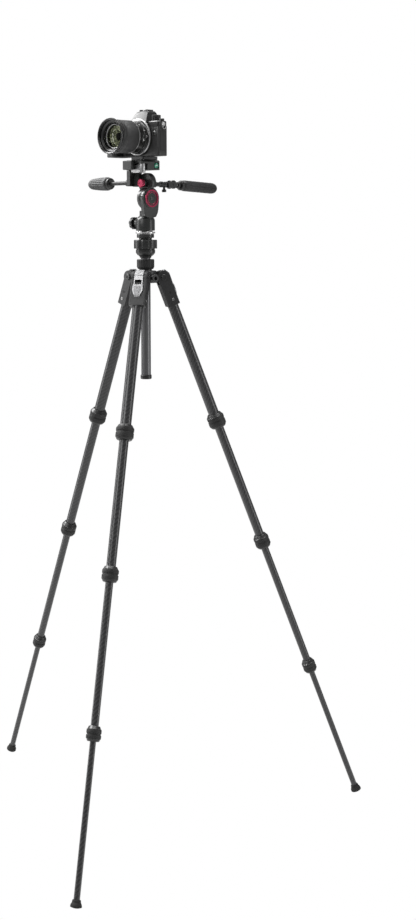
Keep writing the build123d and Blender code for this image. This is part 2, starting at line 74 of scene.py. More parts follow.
# --------------------------------------------------------------- materials
class Mat:
    """A small wrapper that builds node materials."""

    def __init__(self, name):
        self.m = bpy.data.materials.new(name)
        self.m.use_nodes = True
        self.nt = self.m.node_tree
        self.n = self.nt.nodes
        self.b = self.n["Principled BSDF"]
        self.tc = self.n.new("ShaderNodeTexCoord")
        self.obj = self.tc.outputs["Object"]

    def link(self, a, b):
        self.nt.links.new(a, b)
        return b

    def put(self, socket, value):
        if hasattr(value, "node"):
            self.nt.links.new(value, socket)
        else:
            socket.default_value = value

    def set(self, **kw):
        for k, v in kw.items():
            self.b.inputs[k.replace("_", " ")].default_value = v
        return self

    def math(self, op, a, b=0.0, c=None):
        x = self.n.new("ShaderNodeMath")
        x.operation = op
        self.put(x.inputs[0], a)
        self.put(x.inputs[1], b)
        if c is not None:
            self.put(x.inputs[2], c)
        return x.outputs[0]

    def noise(self, scale, detail=4.0, rough=0.55, vec=None, dist=0.0):
        x = self.n.new("ShaderNodeTexNoise")
        x.inputs["Scale"].default_value = scale
        x.inputs["Detail"].default_value = detail
        x.inputs["Roughness"].default_value = rough
        x.inputs["Distortion"].default_value = dist
        self.link(vec if vec is not None else self.obj, x.inputs["Vector"])
        return x.outputs["Fac"]

    def voronoi(self, scale, feature="F1"):
        x = self.n.new("ShaderNodeTexVoronoi")
        x.feature = feature
        x.inputs["Scale"].default_value = scale
        self.link(self.obj, x.inputs["Vector"])
        return x.outputs["Distance"]

    def ramp(self, fac, *stops):
        x = self.n.new("ShaderNodeValToRGB")
        e = x.color_ramp.elements
        while len(e) < len(stops):
            e.new(0.5)
        for el, (p, c) in zip(e, stops):
            el.position = p
            el.color = tuple(c) + (1.0,) if len(c) == 3 else c
        self.link(fac, x.inputs[0])
        return x.outputs[0]

    def map(self, fac, a, b, lo=0.0, hi=1.0):
        x = self.n.new("ShaderNodeMapRange")
        x.inputs["From Min"].default_value = lo
        x.inputs["From Max"].default_value = hi
        x.inputs["To Min"].default_value = a
        x.inputs["To Max"].default_value = b
        self.link(fac, x.inputs["Value"])
        return x.outputs[0]

    def bump(self, height, strength, distance, normal=None):
        x = self.n.new("ShaderNodeBump")
        x.inputs["Strength"].default_value = strength
        x.inputs["Distance"].default_value = distance
        self.link(height, x.inputs["Height"])
        if normal is not None:
            self.link(normal, x.inputs["Normal"])
        self.link(x.outputs[0], self.b.inputs["Normal"])
        return x.outputs[0]

    def dot(self, vec, v):
        x = self.n.new("ShaderNodeVectorMath")
        x.operation = "DOT_PRODUCT"
        self.link(vec, x.inputs[0])
        x.inputs[1].default_value = tuple(v)
        return x.outputs["Value"]

    def local(self, origin, ex, ey, ez):
        """(x, y, z) of a point in a frame of its own, in metres."""
        x = self.n.new("ShaderNodeVectorMath")
        x.operation = "SUBTRACT"
        self.link(self.obj, x.inputs[0])
        x.inputs[1].default_value = tuple(origin)
        p = x.outputs["Vector"]
        return self.dot(p, ex), self.dot(p, ey), self.dot(p, ez)

    def xyz(self):
        x = self.n.new("ShaderNodeSeparateXYZ")
        self.link(self.obj, x.inputs[0])
        return x.outputs[0], x.outputs[1], x.outputs[2]


def painted(name, dark, light, rough, grain=2600.0, bump=0.25, coat=0.0, spec=0.5):
    """Textured paint or moulded plastic: soft tonal drift, fine grain, uneven gloss."""
    m = Mat(name)
    drift = m.noise(35.0, 3.0)
    m.link(m.ramp(drift, (0.3, dark), (0.7, light)), m.b.inputs["Base Color"])
    fine = m.noise(grain, 2.0)
    m.link(m.map(m.noise(90.0, 4.0), rough - 0.07, rough + 0.08), m.b.inputs["Roughness"])
    m.bump(fine, bump, 0.00012)
    m.b.inputs["Specular IOR Level"].default_value = spec
    m.b.inputs["Coat Weight"].default_value = coat
    m.b.inputs["Coat Roughness"].default_value = 0.18
    return m.m


def metal(name, dark, light, rough, grain=3000.0, bump=0.12):
    m = Mat(name)
    m.set(Metallic=1.0)
    m.link(m.ramp(m.noise(140.0, 5.0), (0.25, dark), (0.75, light)), m.b.inputs["Base Color"])
    m.link(m.map(m.noise(420.0, 3.0), rough - 0.06, rough + 0.1), m.b.inputs["Roughness"])
    m.bump(m.noise(grain, 2.0), bump, 0.00006)
    return m.m


CAST = painted("cast_black", (0.018, 0.018, 0.0185), (0.030, 0.030, 0.031), 0.40, 2200.0, 0.35)
CAST_SATIN = painted("cast_satin", (0.016, 0.017, 0.0165), (0.028, 0.029, 0.028), 0.33, 2600.0, 0.22)
PLASTIC = painted("plastic_black", (0.010, 0.010, 0.010), (0.019, 0.019, 0.019), 0.36, 3200.0, 0.18)
BODY_BLACK = painted("body_black", (0.008, 0.008, 0.008), (0.016, 0.016, 0.016), 0.32, 3600.0, 0.3)
LENS_BLACK = painted("lens_black", (0.007, 0.007, 0.007), (0.014, 0.014, 0.0135), 0.24, 4200.0, 0.10, coat=0.15)
BODY_GLOSS = painted("body_gloss", (0.016, 0.016, 0.016), (0.028, 0.028, 0.028), 0.48, 3600.0, 0.02, spec=0.38)
GLOSS = painted("gloss_black", (0.006, 0.006, 0.006), (0.012, 0.012, 0.012), 0.10, 5000.0, 0.02, coat=0.6)
INNER = painted("inner_black", (0.004, 0.004, 0.004), (0.010, 0.010, 0.009), 0.55, 2400.0, 0.1)
RUBBER = painted("rubber_black", (0.012, 0.012, 0.012), (0.024, 0.024, 0.024), 0.55, 1500.0, 0.35, spec=0.4)
RUBBER_FOOT = painted("rubber_foot", (0.012, 0.012, 0.012), (0.026, 0.025, 0.024), 0.72, 1300.0, 0.45, spec=0.3)
GRIP_GREY = painted("grip_grey", (0.028, 0.028, 0.029), (0.054, 0.054, 0.055), 0.55, 1700.0, 0.45, spec=0.4)
GRIP_DARK = painted("grip_dark", (0.014, 0.014, 0.0145), (0.030, 0.030, 0.031), 0.55, 1700.0, 0.45, spec=0.4)
STEEL = metal("steel", (0.30, 0.30, 0.30), (0.48, 0.48, 0.48), 0.28)
SILVER = metal("silver_blasted", (0.34, 0.34, 0.345), (0.50, 0.50, 0.505), 0.36, 2600.0, 0.35)
SILVER_PAD = metal("silver_pad", (0.20, 0.20, 0.205), (0.32, 0.32, 0.325), 0.42, 2600.0, 0.4)
MOUNT_METAL = metal("mount_metal", (0.46, 0.46, 0.46), (0.58, 0.58, 0.58), 0.36, 5000.0, 0.03)
CHROME = metal("chrome_edge", (0.62, 0.62, 0.62), (0.80, 0.80, 0.80), 0.18, 5000.0, 0.03)
BOLT = metal("bolt_black", (0.05, 0.05, 0.05), (0.12, 0.12, 0.12), 0.32)
COLUMN = metal("column_black", (0.10, 0.10, 0.105), (0.17, 0.17, 0.175), 0.36, 4000.0, 0.08)
EDGE = metal("lock_edge", (0.10, 0.10, 0.10), (0.18, 0.18, 0.18), 0.30, 3500.0, 0.06)
RED = metal("red_anodised", (0.28, 0.030, 0.065), (0.44, 0.060, 0.115), 0.26, 3600.0, 0.06)
DISC = painted("disc_dark", (0.012, 0.020, 0.015), (0.026, 0.040, 0.030), 0.22, 3600.0, 0.08, coat=0.3)
WHITE = painted("mark_white", (0.70, 0.70, 0.68), (0.82, 0.82, 0.80), 0.45)


def carbon(name, origin, ex, ey, ez, radius, tow=0.0022):
    """2x2 twill carbon weave wrapped round a tube, under a clear satin coat; each tow's colour is lighter at its crown
    and darker at its edges, a painted shade.
    """
    m = Mat(name)
    x, y, z = m.local(origin, ex, ey, ez)
    u = m.math("MULTIPLY", m.math("ARCTAN2", y, x), radius / tow)
    v = m.math("DIVIDE", z, tow)
    iu, iv = m.math("FLOOR", u), m.math("FLOOR", v)
    fu, fv = m.math("FRACT", u), m.math("FRACT", v)
    k = m.math("FLOORED_MODULO", m.math("ADD", iu, iv), 4.0)
    warp = m.math("LESS_THAN", k, 1.5)
    hu = m.math("SINE", m.math("MULTIPLY", fu, math.pi))
    hv = m.math("SINE", m.math("MULTIPLY", fv, math.pi))
    hgt = m.math("ADD", m.math("MULTIPLY", hu, warp), m.math("MULTIPLY", hv, m.math("SUBTRACT", 1.0, warp)))
    # colour tone: the twill pattern, plus painted shade from the tow height that darkens each tow towards its edges
    weave_tone_painted_shade = m.math("ADD", m.math("MULTIPLY", warp, 0.5), m.math("MULTIPLY", hgt, 0.3))
    weave_tone_painted_shade = m.math("ADD", weave_tone_painted_shade, m.math("MULTIPLY", m.noise(60.0, 4.0), 0.25))
    m.link(m.ramp(weave_tone_painted_shade, (0.05, (0.012, 0.012, 0.0125)), (0.55, (0.022, 0.022, 0.023)), (1.0, (0.046, 0.046, 0.048))),
           m.b.inputs["Base Color"])
    m.link(m.map(warp, 0.30, 0.42), m.b.inputs["Roughness"])
    m.bump(hgt, 0.22, 0.0001)
    m.b.inputs["Coat Weight"].default_value = 0.35
    m.b.inputs["Coat Roughness"].default_value = 0.22
    return m.m


def ribbed(name, origin, ex, ey, ez, n, dark, light, rough, depth=0.0003):
    """Rubber with fine ribs running along the axis of a turned part; the colour is darker in the rib grooves, a painted
    shade.
    """
    m = Mat(name)
    x, y, z = m.local(origin, ex, ey, ez)
    a = m.math("MULTIPLY", m.math("ARCTAN2", y, x), n / (2 * math.pi))
    w = m.math("PINGPONG", m.math("FRACT", a), 0.5)
    h = m.math("SMOOTH_MIN", m.math("MULTIPLY", w, 4.0), 1.0, 0.4)
    # base colour follows the rib height: painted shade in the grooves, lighter crests
    m.link(m.ramp(m.math("MULTIPLY", h, m.map(m.noise(50.0), 0.8, 1.05)), (0.1, dark), (0.9, light)),
           m.b.inputs["Base Color"])
    m.link(m.map(m.noise(700.0), rough - 0.06, rough + 0.08), m.b.inputs["Roughness"])
    m.bump(h, 0.7, depth)
    return m.m


def glass_mat(name, tint, rough=0.02, ior=1.16, trans=1.0):
    """Multi-coated glass: little reflection, a faint tint."""
    m = Mat(name)
    m.set(Roughness=rough, IOR=ior)
    m.b.inputs["Transmission Weight"].default_value = trans
    m.b.inputs["Coat Weight"].default_value = 0.12
    m.b.inputs["Coat Tint"].default_value = tuple(tint) + (1.0,)
    m.b.inputs["Coat Roughness"].default_value = 0.04
    m.link(m.ramp(m.noise(20.0), (0.3, tint), (0.7, tuple(min(1, c * 1.1) for c in tint))), m.b.inputs["Base Color"])
    m.bump(m.noise(60.0, 2.0), 0.02, 0.0001)
    return m.m


# ------------------------------------------------------------------ meshes
def finish_mesh(bm, name, mats, smooth_angle=35.0):
    me = bpy.data.meshes.new(name)
    bmesh.ops.remove_doubles(bm, verts=bm.verts, dist=1e-7)
    bmesh.ops.recalc_face_normals(bm, faces=bm.faces)
    for f in bm.faces:
        f.smooth = True
    for e in bm.edges:
        if len(e.link_faces) == 2 and e.calc_face_angle(0.0) > math.radians(smooth_angle):
            e.smooth = False
    bm.to_mesh(me)
    bm.free()
    for x in (mats if isinstance(mats, (list, tuple)) else [mats]):
        me.materials.append(x)
    o = bpy.data.objects.new(name, me)
    sc.collection.objects.link(o)
    return o


def place(x, y, z, rot=None):
    """Row-frame matrix from head coordinates in mm (measured from the column axis)."""
    m = Matrix.Translation(Vector(((CX + x) * MM, y * MM, z * MM)))
    return m @ (rot if rot is not None else Matrix.Identity(4))


RX = lambda d: Matrix.Rotation(math.radians(d), 4, "X")
RY = lambda d: Matrix.Rotation(math.radians(d), 4, "Y")
RZ = lambda d: Matrix.Rotation(math.radians(d), 4, "Z")
TO_NY = RX(90)     # +Z to -Y
TO_PY = RX(-90)    # +Z to +Y
TO_PX = RY(90)     # +Z to +X
TO_NX = RY(-90)    # +Z to -X


def lathe(name, profile, mat, mtx, body, seg=96, ribs=None, mats_by=None):
    """Turned piece about Z from (radius, height) corners in mm; ribs(height, angle) takes mm off the radius."""
    bm = bmesh.new()
    rings = []
    for r, z in profile:
        if r < 1e-6:
            rings.append([bm.verts.new((0, 0, z * MM))])
            continue
        ring = []
        for i in range(seg):
            a = 2 * math.pi * i / seg
            rr = r - (ribs(z, a) if ribs else 0.0)
            ring.append(bm.verts.new((rr * math.cos(a) * MM, rr * math.sin(a) * MM, z * MM)))
        rings.append(ring)
    n = len(profile)
    closed = profile[0][0] > 1e-6 and profile[-1][0] > 1e-6
    for k in range(n if closed else n - 1):
        a, b = rings[k], rings[(k + 1) % n]
        for i in range(seg):
            j = (i + 1) % seg
            if len(a) == 1 and len(b) == 1:
                continue
            if len(a) == 1:
                f = bm.faces.new((a[0], b[j], b[i]))
            elif len(b) == 1:
                f = bm.faces.new((a[i], a[j], b[0]))
            else:
                f = bm.faces.new((a[i], a[j], b[j], b[i]))
            if mats_by:
                f.material_index = mats_by(k)
    bm.transform(mtx)
    o = finish_mesh(bm, name, mat)
    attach(o, body)
    return o


def rounded_profile(pts, r, n=4):
    """Round the corners of an open profile by r mm."""
    out = [pts[0]]
    for a, b, c in zip(pts, pts[1:], pts[2:]):
        a_, b_, c_ = Vector(a), Vector(b), Vector(c)
        d1, d2 = (a_ - b_), (c_ - b_)
        rr = min(r, d1.length * 0.45, d2.length * 0.45)
        if rr < 1e-4:
            out.append(b)
            continue
        p, q = b_ + d1.normalized() * rr, b_ + d2.normalized() * rr
        for i in range(n + 1):
            t = i / n
            v = p * (1 - t) ** 2 + b_ * 2 * t * (1 - t) + q * t ** 2
            out.append((v.x, v.y))
    out.append(pts[-1])
    return out


def plate(name, w, d, h, mat, mtx, body, bevel=0.6, seg=3, taper=0.0):
    """Bevelled block w x d x h mm, standing on its own z = 0; taper narrows its top."""
    bm = bmesh.new()
    bmesh.ops.create_cube(bm, size=1.0)
    for v in bm.verts:
        k = 1.0 - (taper if v.co.z > 0 else 0.0)
        v.co = Vector((v.co.x * w * MM * k, v.co.y * d * MM * k, (v.co.z + 0.5) * h * MM))
    bmesh.ops.bevel(bm, geom=list(bm.edges), offset=bevel * MM, segments=seg, affect="EDGES", profile=0.6)
    bm.transform(mtx)
    o = finish_mesh(bm, name, mat, 50.0)
    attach(o, body)
    return o


def outline_plate(name, pts, h, mat, mtx, body, bevel=0.4, seg=2):
    """Bevelled prism of an outline in its own XY plane, h mm thick."""
    bm = bmesh.new()
    lo = [bm.verts.new((x * MM, y * MM, 0)) for x, y in pts]
    f = bm.faces.new(lo)
    r = bmesh.ops.extrude_face_region(bm, geom=[f])
    top = [v for v in r["geom"] if isinstance(v, bmesh.types.BMVert)]
    bmesh.ops.translate(bm, verts=top, vec=(0, 0, h * MM))
    tf = [g for g in r["geom"] if isinstance(g, bmesh.types.BMFace)]
    bmesh.ops.recalc_face_normals(bm, faces=bm.faces)
    bmesh.ops.bevel(bm, geom=[e for t in tf for e in t.edges], offset=bevel * MM, segments=seg, affect="EDGES")
    bm.transform(mtx)
    o = finish_mesh(bm, name, mat, 40.0)
    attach(o, body)
    return o


def paint(node, mat, index_by=None, extra=()):
    """Gives a CAD node its materials; index_by(face centre in mm, normal) picks one for a face."""
    o = NODES[node]
    me = o.data
    me.materials.clear()
    me.materials.append(mat)
    for x in extra:
        me.materials.append(x)
    for p in me.polygons:
        if index_by:
            c = p.center / MM
            p.material_index = index_by(Vector((c.x - CX, c.y, c.z)), p.normal)
        else:
            p.material_index = 0


def soften(node, width=0.35, angle=38.0, seg=2):
    """Small real bevels on the sharp edges of a CAD node, as a modifier."""
    o = NODES[node]
    w = o.modifiers.new("weld", "WELD")
    w.merge_threshold = 0.000004
    b = o.modifiers.new("bevel", "BEVEL")
    b.width = width * MM
    b.segments = seg
    b.limit_method = "ANGLE"
    b.angle_limit = math.radians(angle)
    b.use_clamp_overlap = True
    b.harden_normals = False
    b.miter_outer = "MITER_ARC"


# leg frames
def leg_frame(az):
    a = math.radians(az)
    d = Vector((math.sin(LEG_A) * math.cos(a), math.sin(LEG_A) * math.sin(a), -math.cos(LEG_A)))
    o = Vector((math.cos(LEG_A) * math.cos(a), math.cos(LEG_A) * math.sin(a), math.sin(LEG_A)))
    t = Vector((-math.sin(a), math.cos(a), 0))
    p = Vector((CX + PIVOT_R * math.cos(a), PIVOT_R * math.sin(a), PIVOT_Z)) * MM
    return p, d, o, t


def leg_matrix(az):
    """Canonical leg frame: +X outwards, +Y tangential, -Z down the leg."""
    p, d, o, t = leg_frame(az)
    m = Matrix((o, t, -d)).transposed().to_4x4()
    m.translation = p
    return m


LOCK_S, LOCK_H, LOCK_R = (319.2, 591.8, 877.7), (30.0, 29.0, 27.0), (18.0, 16.0, 14.0)
TUBE_R = (11.0, 9.25, 7.5, 5.75)

for leg, az in LEGS.items():
    p, d, o, t = leg_frame(az)
    M = leg_matrix(az)
    for i in range(4):
        paint(f"{leg}_tube_{i + 1}", carbon(f"carbon_{leg}_{i}", p, o, t, d, TUBE_R[i] * MM))
    paint(f"{leg}_casting", CAST)
    paint(f"{leg}_foot", RUBBER_FOOT)

    paint(f"{leg}_angle_tab", SILVER)
    # raised thumb pad with cross ribs on the shield
    pad = [(-8.0, -22.6), (8.0, -22.6), (8.0, -33.0), (3.9, -42.0), (-3.9, -42.0), (-8.0, -33.0)]
    face = M @ Matrix.Translation(Vector((15.62 * MM, 0, 0))) @ Matrix(((0, 0, 1, 0), (1, 0, 0, 0), (0, 1, 0, 0), (0, 0, 0, 1)))
    outline_plate(f"{leg}_tab_pad", pad, 0.55, SILVER_PAD, face, f"{leg}_tab", 0.25)
    for k in range(5):
        z = -25.2 - 2.9 * k
        w = 11.0 if k < 3 else (9.4 if k == 3 else 6.4)
        plate(f"{leg}_tab_rib_{k}", w, 0.7, 0.5, SILVER, face @ Matrix.Translation(Vector((0, z * MM, 0.45 * MM))),
              f"{leg}_tab", 0.2, 2)
    # locks: rubber sleeve with fine ribs, bright shoulder ring and bottom ring
    for i in range(3):
        s, h, r = LOCK_S[i], LOCK_H[i], LOCK_R[i]
        top, bot = -(s - h / 2), -(s + h / 2)
        ru, rl = TUBE_R[i], TUBE_R[i + 1]
        prof = [(ru + 0.35, top), (ru + 2.4, top), (ru + 2.9, top - 0.4), (r - 1.6, top - 4.8), (r - 0.9, top - 5.3),
                (r - 0.9, top - 5.9), (r - 0.4, top - 6.1), (r, top - 7.0), (r, top - 12.2), (r - 0.3, top - 12.9),
                (r - 1.1, top - 13.3), (r - 1.1, top - 15.3), (r - 0.3, top - 15.7), (r, top - 16.4), (r, bot + 6.0),
                (r - 0.3, bot + 5.2), (r - 0.9, bot + 4.9), (r - 0.9, bot + 4.3), (r - 1.4, bot + 4.0),
                (r - 2.6, bot + 1.2), (r - 4.0, bot), (rl + 0.35, bot), (rl + 0.35, -(s + 1.6)), (ru + 0.35, -(s + 1.6))]

        def ribs(z, a, top=top, bot=bot, r=r):
            on = (top - 12.4 <= z <= top - 6.8) or (bot + 5.8 <= z <= top - 16.2)
            return 0.32 * (0.5 - 0.5 * math.cos(a * 40)) ** 2 if on else 0.0
        lk = lathe(f"{leg}_twist_lock_{i + 1}", prof, [RUBBER, EDGE, PLASTIC], M, f"{leg}_lock_{i + 1}_ring",
                   seg=240, ribs=ribs, mats_by=lambda k: 1 if k in (1, 5) else (2 if k in (2, 3, 4, 17, 18, 19, 20) else 0))
        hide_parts(f"{leg}_lock_{i + 1}")
    # casting screws on both cheeks and the clamp seam
    for sgn in (-1, 1):
        for (x, z, r) in ((1.5, -49.0, 2.6), (2.2, -34.0, 1.8)):
            mt = M @ Matrix.Translation(Vector((x * MM, sgn * 16.5 * MM, z * MM))) @ (TO_PY if sgn > 0 else TO_NY)
            lathe(f"{leg}_screw_{'a' if sgn < 0 else 'b'}_{int(-z)}",
                  [(0, 0.5), (r * 0.42, 0.5), (r * 0.55, 1.1), (r * 0.85, 1.1), (r, 0.7), (r, -0.4), (0, -0.4)],
                  STEEL if r > 2 else BOLT, mt, leg, 32)
    soften(f"{leg}_casting", 0.7, 40, 3)
    soften(f"{leg}_angle_tab", 0.35, 40, 2)

# ------------------------------------------------------------ spider, column
paint("spider", CAST)
soften("spider", 0.6, 40, 2)
paint("leg_pivot_bolts", BOLT)
soften("leg_pivot_bolts", 0.2)
paint("column_end_cap", PLASTIC)
paint("column_lock_collar", RUBBER)
paint("level_cup", CAST_SATIN)
paint("level_ring", CAST_SATIN)
soften("level_ring", 0.4, 40)
paint("level_ball", CAST_SATIN)
cm = Mat("column_tube")
cx_, cy_, cz_ = cm.local((CX * MM, 0, 0), (1, 0, 0), (0, 1, 0), (0, 0, 1))
ang = cm.math("MULTIPLY", cm.math("ARCTAN2", cy_, cx_), 12 / math.pi)
streak = cm.n.new("ShaderNodeCombineXYZ")
cm.link(cm.math("MULTIPLY", ang, 9.0), streak.inputs[0])
cm.link(cm.math("MULTIPLY", cz_, 3.0), streak.inputs[2])
cm.set(Metallic=0.85)
cm.link(cm.ramp(cm.noise(1.0, 4.0, vec=streak.outputs[0]), (0.25, (0.12, 0.12, 0.124)), (0.8, (0.22, 0.22, 0.226))),
        cm.b.inputs["Base Color"])
cm.link(cm.map(cm.noise(300.0), 0.30, 0.44), cm.b.inputs["Roughness"])
cm.bump(cm.noise(2500.0), 0.12, 0.0001)
paint("center_column", cm.m)

# scale ring: satin metal with dark divisions round the rim
sm = Mat("scale_ring")
x, y, z = sm.local((CX * MM, 0, 1.1846), (1, 0, 0), (0, 1, 0), (0, 0, 1))
a = sm.math("MULTIPLY", sm.math("ARCTAN2", y, x), 72 / (2 * math.pi))
tick = sm.math("LESS_THAN", sm.math("PINGPONG", sm.math("FRACT", a), 0.5), 0.07)
a6 = sm.math("MULTIPLY", sm.math("ARCTAN2", y, x), 12 / (2 * math.pi))
big = sm.math("LESS_THAN", sm.math("PINGPONG", sm.math("FRACT", a6), 0.5), 0.03)
short = sm.math("MULTIPLY", tick, sm.math("LESS_THAN", z, 0.0002))
sm.set(Metallic=0.9)
sm.link(sm.ramp(sm.math("MAXIMUM", short, big), (0.0, (0.62, 0.62, 0.62)), (1.0, (0.02, 0.02, 0.02))), sm.b.inputs["Base Color"])
sm.link(sm.map(sm.noise(500.0), 0.28, 0.42), sm.b.inputs["Roughness"])
sm.bump(sm.math("MAXIMUM", short, big), -0.4, 0.0001)
paint("pan_scale_ring", sm.m)

# ------------------------------------------------------------------- head
for nm in ("pan_body", "tilt_body", "plate_clamp"):
    paint(nm, CAST_SATIN)
    soften(nm, 0.6, 40, 2)
paint("pan_lock_knob", PLASTIC)
soften("pan_lock_knob", 0.5, 40)
paint("quick_plate", CAST)
soften("quick_plate", 0.4, 40)
paint("clamp_lever", SILVER, lambda c, n: 1 if c.y < -30.3 else 0, [CAST_SATIN])
soften("clamp_lever", 0.7, 35, 3)
paint("friction_knob", RED)
soften("friction_knob", 0.4, 40)
paint("tilt_bar", PLASTIC)
soften("tilt_bar", 0.5, 40)
paint("tilt_rod", PLASTIC)
soften("tilt_rod", 0.5, 40)
paint("side_bar", RUBBER)
paint("side_grip", GRIP_GREY)
paint("tilt_grip", GRIP_DARK)


def cap_face(c, n):
    r = math.hypot(c.y, c.z - TILT_Z)
    if 14.7 < r < 18.4 and c.x > 19.0:
        return 1
    return 2 if r < 11.45 else 0


paint("tilt_cap", CAST_SATIN, cap_face, [RED, DISC])


def handle_grip(name, prof, ribs, mtx, body, node, mats, mats_by=None):
    o = lathe(name, prof, mats, mtx, body, seg=216, ribs=ribs, mats_by=mats_by)
    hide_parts(node)
    return o


def fine(prof, step=2.0):
    """Adds rings along the long straight runs of a profile."""
    out = [prof[0]]
    for a, b in zip(prof, prof[1:]):
        n = max(1, int(abs(b[1] - a[1]) / step))
        for i in range(1, n + 1):
            out.append((a[0] + (b[0] - a[0]) * i / n, a[1] + (b[1] - a[1]) * i / n))
    return out


def groove(z, a, z0, z1, n, depth, sharp=3.0):
    if z < z0 or z > z1:
        return 0.0
    e = min(1.0, (z - z0) / 5.0, (z1 - z) / 5.0)
    return depth * e * (0.5 + 0.5 * math.cos(a * n)) ** sharp


side_prof = fine([(0, 94.6), (4.35, 94.6), (4.35, 86.0), (9.4, 86.0), (11.4, 86.8), (12.0, 87.9), (12.0, 90.4), (11.2, 91.2),
                  (11.2, 92.4), (12.9, 93.6), (13.9, 95.6), (14.2, 98.0), (14.2, 103.0), (13.95, 111.0), (13.5, 119.0), (12.9, 127.0),
                  (12.1, 136.0), (11.4, 141.0), (10.7, 144.6), (9.2, 148.0), (7.4, 150.4), (5.0, 152.0), (2.4, 152.8), (0, 153.0)])
handle_grip("side_handle_grip", side_prof,
            lambda z, a: groove(z, a, 96.0, 145.0, 18, 0.9) + (0.45 if 99 < z < 141 and (z % 8.0) < 1.6 else 0.0),
            place(0, -16.0, 1286.5, TO_NX), "side_handle", "side_grip", [GRIP_GREY, PLASTIC],
            lambda k: 0 if side_prof[k][1] > 92.8 and k > 3 else 1)
tilt_prof = fine([(0, 60.6), (4.75, 60.6), (4.75, 24.0), (8.0, 24.0), (9.8, 24.8), (10.4, 26.0), (10.4, 30.2), (9.4, 31.2),
                  (9.4, 32.6), (10.7, 33.8), (11.3, 36.0), (11.5, 39.0), (11.5, 117.0), (11.25, 121.5), (10.5, 125.0), (9.2, 128.0),
                  (7.2, 130.5), (4.6, 132.1), (2.2, 132.8), (0, 132.9)])
handle_grip("tilt_handle_grip", tilt_prof,
            lambda z, a: groove(z, a, 40.0, 122.0, 16, 0.7) + (0.45 if 44 < z < 118 and (z % 12.0) < 2.1 else 0.0),
            place(*KNUCKLE, RX(-90 - 3.07)), "tilt_handle", "tilt_grip", [GRIP_DARK, PLASTIC],
            lambda k: 0 if tilt_prof[k][1] > 32.8 else 1)

# knob trim: pan lock knob hub cap, friction knob knurl ring
lathe("pan_knob_cap", rounded_profile([(0, 9.0), (6.0, 9.0), (7.2, 8.3), (7.6, 8.0)], 0.4), EDGE,
      place(-29.4, 0, 1204, TO_NX), "pan_knob", 64)
lathe("friction_knob_ring", [(9.0, 0), (9.35, 0.3), (9.35, 3.6), (9.0, 3.9)], RED, place(ROLL[0], -10.8, ROLL[1], TO_NY),
      "roll_friction_knob", 180, ribs=lambda z, a: 0.28 * (0.5 + 0.5 * math.cos(a * 45)) if 0.2 < z < 3.7 else 0.0)
lathe("tilt_cap_screw", [(0, 0.2), (1.6, 0.2), (1.9, 0.9), (3.4, 0.9), (3.9, 0.5), (3.9, -0.3), (0, -0.3)], BOLT,
      place(19.9, 0, TILT_Z, TO_PX), "pan_unit", 48)

# bubble level in the clamp
lathe("tilt_cap_inner_ring", [(11.5, 19.0), (11.5, 20.1), (11.8, 20.4), (12.3, 20.4), (12.6, 20.1), (12.6, 19.0)], RED,
      place(0, 0, TILT_Z, TO_PX), "pan_unit", 96)
vial = Mat("vial_green")
vial.set(Roughness=0.08, IOR=1.45)
vial.b.inputs["Transmission Weight"].default_value = 0.35
vial.link(vial.ramp(vial.noise(160.0), (0.3, (0.03, 0.34, 0.20)), (0.7, (0.10, 0.52, 0.34))), vial.b.inputs["Base Color"])
vial.bump(vial.noise(400.0), 0.03, 0.0001)
lathe("level_vial", rounded_profile([(0, 0.0), (5.7, 0.0), (5.7, 3.0), (4.8, 4.1), (0, 4.5)], 0.8), vial.m,
      place(19.5, 10.0, 1321.7, TO_PX), "roll_unit", 64)
lathe("level_vial_bezel", [(5.72, 1.2), (6.05, 1.2), (6.05, 2.9), (5.72, 3.1)], PLASTIC,
      place(19.5, 10.0, 1321.7, TO_PX), "roll_unit", 64)
lathe("level_vial_circle", [(2.1, 4.02), (2.4, 4.10), (2.4, 4.22), (2.1, 4.30)], INNER,
      place(19.5, 10.0, 1321.7, TO_PX), "roll_unit", 48)
lathe("level_vial_bubble", rounded_profile([(0, 4.15), (1.5, 4.15), (1.7, 4.5), (0, 4.75)], 0.2), WHITE,
      place(19.5, 10.4, 1322.1, TO_PX), "roll_unit", 32)
lathe("lever_pin_head", [(0, 0.6), (1.8, 0.6), (3.2, 0.2), (3.2, -0.3), (0, -0.3)], STEEL, place(15.0, -22.6, 1333.0), "roll_unit",
      40)
plate("plate_rubber_pad", 33.0, 36.0, 0.9, RUBBER, place(-1.0, -1.0, 1339.15), "camera", 0.3, 2)

# ------------------------------------------------------------------ camera
bx = Mat("camera_skin")
gx, gy, gz = bx.xyz()
above = bx.math("GREATER_THAN", gz, 1.3468)
below = bx.math("LESS_THAN", gz, 1.3975)
skin = bx.math("MULTIPLY", above, below)
peb = bx.voronoi(1150.0)
fine_n = bx.noise(3400.0, 2.0)
hgt = bx.math("ADD", bx.math("MULTIPLY", bx.math("MULTIPLY", peb, skin), 1.0), bx.math("MULTIPLY", fine_n, 0.12))
bx.link(bx.ramp(bx.noise(40.0), (0.3, (0.012, 0.012, 0.012)), (0.7, (0.024, 0.024, 0.024))), bx.b.inputs["Base Color"])
bx.link(bx.map(skin, 0.34, 0.52), bx.b.inputs["Roughness"])
bx.bump(hgt, 0.6, 0.00035)
paint("camera_body", bx.m)
soften("camera_body", 0.5, 40)
paint("top_cover", BODY_BLACK)
soften("top_cover", 0.7, 38, 3)
paint("mode_dial", BODY_BLACK)
paint("shutter_button", GLOSS)
paint("lens_barrel", LENS_BLACK)


def barrel_face(c, n):
    r = math.hypot(c.x, c.z - LENS_Z)
    if c.y < -91.0 and r < 33.4:
        return 1
    if c.y < -80 and r < 31:
        return 1
    return 0


